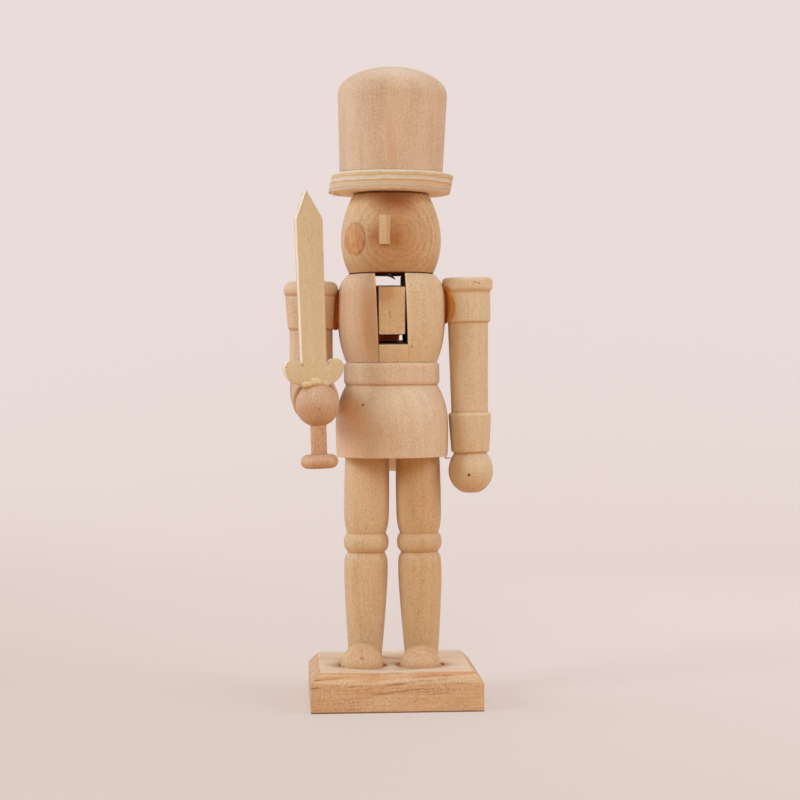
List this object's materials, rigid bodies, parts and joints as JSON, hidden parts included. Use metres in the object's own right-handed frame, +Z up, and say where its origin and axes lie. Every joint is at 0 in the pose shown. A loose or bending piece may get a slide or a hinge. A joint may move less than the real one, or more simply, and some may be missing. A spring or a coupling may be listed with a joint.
{
  "type": "unpainted nutcracker figure",
  "caption": "Bare turned-wood nutcracker soldier in a tall hat, holding a plywood sword, on a chamfered plinth; a lever behind the coat works the jaw in a slot through the chest.",
  "frame": {"origin": "centre of the plinth's underside, on the surface that the figure stands on", "axes": "+Z up along the figure, -Y the way it faces, -X its right hand with the sword"},
  "size_m": [0.0662, 0.0571, 0.2002],
  "materials": {
    "turned_wood": "bare sanded beech-like wood, matt",
    "head_wood": "bare sanded wood, a warmer piece with a knot",
    "pine": "bare pine with dark resin streaks, matt",
    "plywood": "bare plywood, sawn edge",
    "sword_plywood": "bare yellowish plywood, sawn edge",
    "peg_wood": "bare turned hardwood peg",
    "dowel_wood": "bare dowel rod"
  },
  "bodies": {
    "figure": {"base_plinth": "pine", "right_foot": "turned_wood", "left_foot": "turned_wood", "right_leg": "turned_wood", "left_leg": "turned_wood", "right_ankle_dowel": "dowel_wood", "left_ankle_dowel": "dowel_wood", "right_hip_dowel": "dowel_wood", "left_hip_dowel": "dowel_wood", "lower_body": "turned_wood", "right_waist_dowel": "dowel_wood", "left_waist_dowel": "dowel_wood", "chest_right_half": "turned_wood", "chest_left_half": "turned_wood", "chest_filler_block": "turned_wood", "lever_pivot_pin": "dowel_wood", "right_neck_dowel": "dowel_wood", "left_neck_dowel": "dowel_wood", "head": "head_wood", "nose": "turned_wood", "hat_brim": "plywood", "hat_crown": "turned_wood", "hat_dowel": "dowel_wood", "left_arm": "turned_wood", "left_shoulder_dowel": "dowel_wood", "right_upper_arm": "turned_wood", "right_shoulder_dowel": "dowel_wood", "right_forearm": "turned_wood", "elbow_dowel": "dowel_wood", "sword_blade": "sword_plywood", "sword_peg": "peg_wood"},
    "lever": {"jaw_lever": "turned_wood"}
  },
  "joints": [
    {"name": "jaw_hinge", "type": "hinge", "parent": "figure", "child": "lever", "pos_m": [-0.0006, 0.002, 0.121], "axis": [1, 0, 0], "range_deg": [0, 9]}
  ]
}
